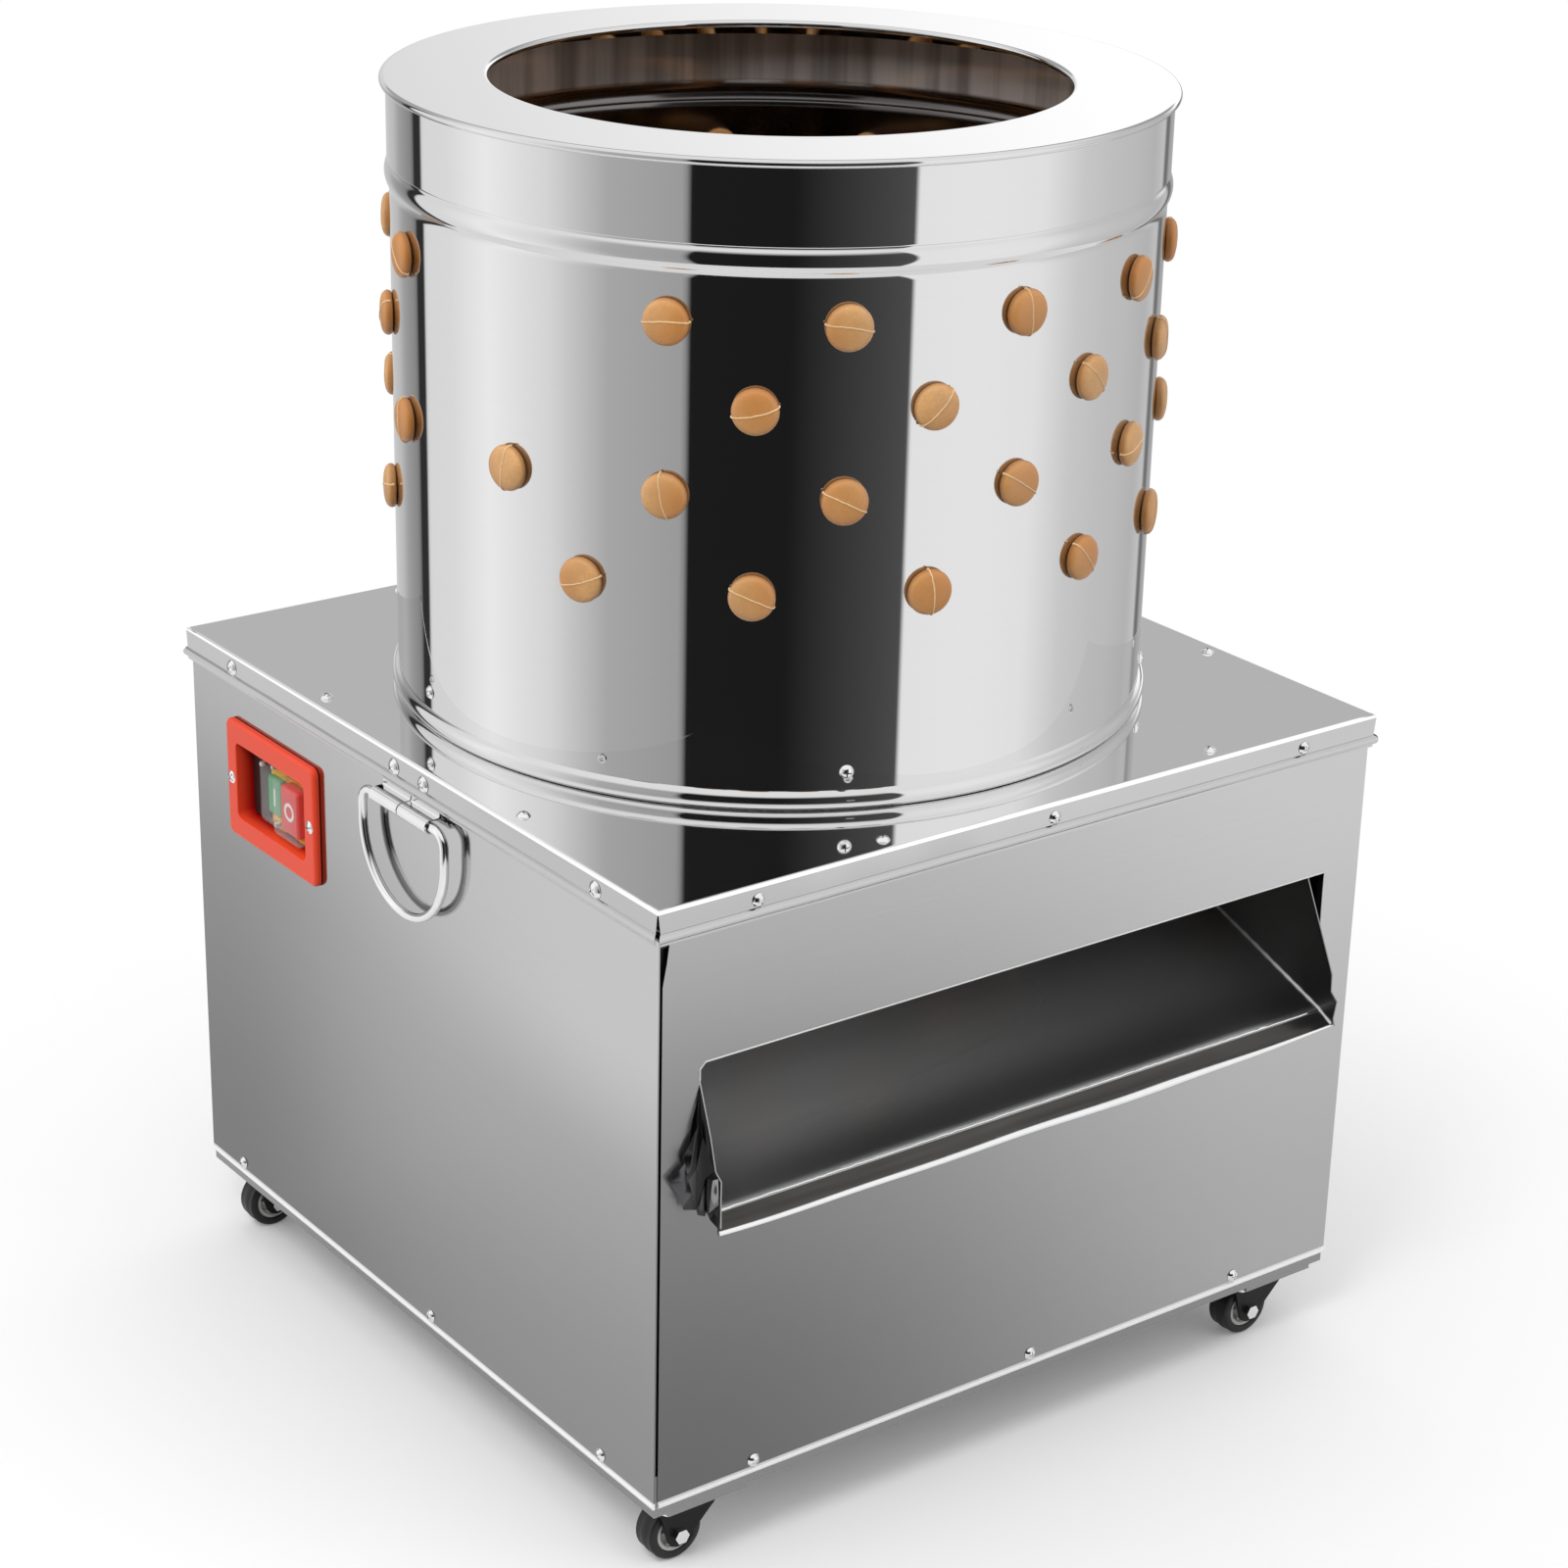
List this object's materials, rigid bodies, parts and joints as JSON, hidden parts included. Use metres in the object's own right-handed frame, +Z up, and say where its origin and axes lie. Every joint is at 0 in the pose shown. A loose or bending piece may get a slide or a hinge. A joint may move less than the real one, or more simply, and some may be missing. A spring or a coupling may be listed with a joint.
{
  "type": "poultry plucker",
  "caption": "Drum plucker: finger-lined polished drum with a spinning turntable on a square caster cabinet with feather chute, switch and handles.",
  "frame": {"origin": "on the floor under the middle of the whole part's box", "axes": "+Z up, -Y towards the feather chute, -X towards the switch"},
  "size_m": [0.5996, 0.624, 0.87],
  "materials": {
    "polished_steel": "mirror-polished stainless sheet",
    "frame_paint": "grey painted angle steel",
    "bright_steel": "bright plated steel",
    "finger_rubber": "amber natural rubber",
    "pulley_iron": "turned cast iron",
    "motor_iron": "painted cast housing",
    "black_rubber": "black rubber",
    "bezel_red": "moulded red-orange plastic",
    "switch_black": "moulded black plastic",
    "plate_yellow": "yellow plastic plate",
    "start_green": "green push button",
    "stop_red": "red push button",
    "boot_clear": "clear soft boot",
    "caster_black": "black painted pressing",
    "hub_grey": "pale moulded plastic",
    "tyre_black": "black rubber tyre"
  },
  "bodies": {
    "cabinet": {"front_panel": "polished_steel", "left_panel": "polished_steel", "right_panel": "polished_steel", "rear_panel": "polished_steel", "top_cover": "polished_steel", "feather_chute": "polished_steel", "drum_shell": "polished_steel", "drum_collar": "polished_steel", "feed_ring": "polished_steel", "base_frame": "frame_paint", "frame_uprights": "frame_paint", "top_frame": "frame_paint", "drive_deck": "frame_paint", "bearing_tube": "frame_paint", "caster_plates": "frame_paint", "motor_fan_cover": "frame_paint", "motor_terminal_box": "frame_paint", "sheet_screws": "bright_steel", "frame_bolts": "bright_steel", "bearing_outer_races": "bright_steel", "handle_straps": "bright_steel", "drum_fingers": "finger_rubber", "motor_body": "motor_iron", "shaft_seal": "black_rubber", "v_belt": "black_rubber", "switch_bezel": "bezel_red", "switch_body": "switch_black", "cable_gland": "switch_black", "switch_plate": "plate_yellow", "switch_boot": "boot_clear"},
    "rotor": {"main_shaft": "bright_steel", "bearing_inner_races": "bright_steel", "drive_pulley": "pulley_iron", "turntable_hub": "bright_steel", "turntable": "polished_steel", "turntable_fingers": "finger_rubber", "hub_bolts": "bright_steel"},
    "motor_spindle": {"motor_rotor": "bright_steel", "motor_pulley": "pulley_iron"},
    "start_push": {"start_button": "start_green"},
    "stop_push": {"stop_button": "stop_red"},
    "left_handle": {"left_handle_ring": "bright_steel"},
    "right_handle": {"right_handle_ring": "bright_steel"},
    "front_left_swivel": {"front_left_fork": "caster_black", "front_left_axle": "bright_steel"},
    "front_left_wheel": {"front_left_hub": "hub_grey", "front_left_tyre": "tyre_black"},
    "front_right_swivel": {"front_right_fork": "caster_black", "front_right_axle": "bright_steel"},
    "front_right_wheel": {"front_right_hub": "hub_grey", "front_right_tyre": "tyre_black"},
    "rear_left_swivel": {"rear_left_fork": "caster_black", "rear_left_axle": "bright_steel"},
    "rear_left_wheel": {"rear_left_hub": "hub_grey", "rear_left_tyre": "tyre_black"},
    "rear_right_swivel": {"rear_right_fork": "caster_black", "rear_right_axle": "bright_steel"},
    "rear_right_wheel": {"rear_right_hub": "hub_grey", "rear_right_tyre": "tyre_black"}
  },
  "joints": [
    {"name": "rotor_spin", "type": "hinge", "parent": "cabinet", "child": "rotor", "pos_m": [0, 0.01, 0.3], "axis": [0, 0, 1], "continuous": true},
    {"name": "motor_spin", "type": "hinge", "parent": "cabinet", "child": "motor_spindle", "pos_m": [0, 0.175, 0.3], "axis": [0, 0, 1], "continuous": true},
    {"name": "start_press", "type": "slide", "parent": "cabinet", "child": "start_push", "axis": [1, 0, 0], "range_m": [0, 0.004], "stiffness_N_per_m": 500, "springref_m": -0.001},
    {"name": "stop_press", "type": "slide", "parent": "cabinet", "child": "stop_push", "axis": [1, 0, 0], "range_m": [0, 0.004], "stiffness_N_per_m": 500, "springref_m": -0.001},
    {"name": "left_handle_swing", "type": "hinge", "parent": "cabinet", "child": "left_handle", "pos_m": [-0.295, -0.001, 0.433], "axis": [0, 1, 0], "range_deg": [-3, 150]},
    {"name": "right_handle_swing", "type": "hinge", "parent": "cabinet", "child": "right_handle", "pos_m": [0.295, -0.001, 0.433], "axis": [0, -1, 0], "range_deg": [-3, 150]},
    {"name": "front_left_turn", "type": "hinge", "parent": "cabinet", "child": "front_left_swivel", "pos_m": [-0.245, -0.25, 0.045], "axis": [0, 0, 1], "continuous": true},
    {"name": "front_left_roll", "type": "hinge", "parent": "front_left_swivel", "child": "front_left_wheel", "pos_m": [-0.257, -0.25, 0.02], "axis": [0, 1, 0], "continuous": true},
    {"name": "front_right_turn", "type": "hinge", "parent": "cabinet", "child": "front_right_swivel", "pos_m": [0.245, -0.25, 0.045], "axis": [0, 0, 1], "continuous": true},
    {"name": "front_right_roll", "type": "hinge", "parent": "front_right_swivel", "child": "front_right_wheel", "pos_m": [0.233, -0.25, 0.02], "axis": [0, 1, 0], "continuous": true},
    {"name": "rear_left_turn", "type": "hinge", "parent": "cabinet", "child": "rear_left_swivel", "pos_m": [-0.245, 0.27, 0.045], "axis": [0, 0, 1], "continuous": true},
    {"name": "rear_left_roll", "type": "hinge", "parent": "rear_left_swivel", "child": "rear_left_wheel", "pos_m": [-0.257, 0.27, 0.02], "axis": [0, 1, 0], "continuous": true},
    {"name": "rear_right_turn", "type": "hinge", "parent": "cabinet", "child": "rear_right_swivel", "pos_m": [0.245, 0.27, 0.045], "axis": [0, 0, 1], "continuous": true},
    {"name": "rear_right_roll", "type": "hinge", "parent": "rear_right_swivel", "child": "rear_right_wheel", "pos_m": [0.233, 0.27, 0.02], "axis": [0, 1, 0], "continuous": true}
  ],
  "couplings": [
    {"joint": "motor_spin", "follows": "rotor_spin", "ratio": 3.75}
  ]
}
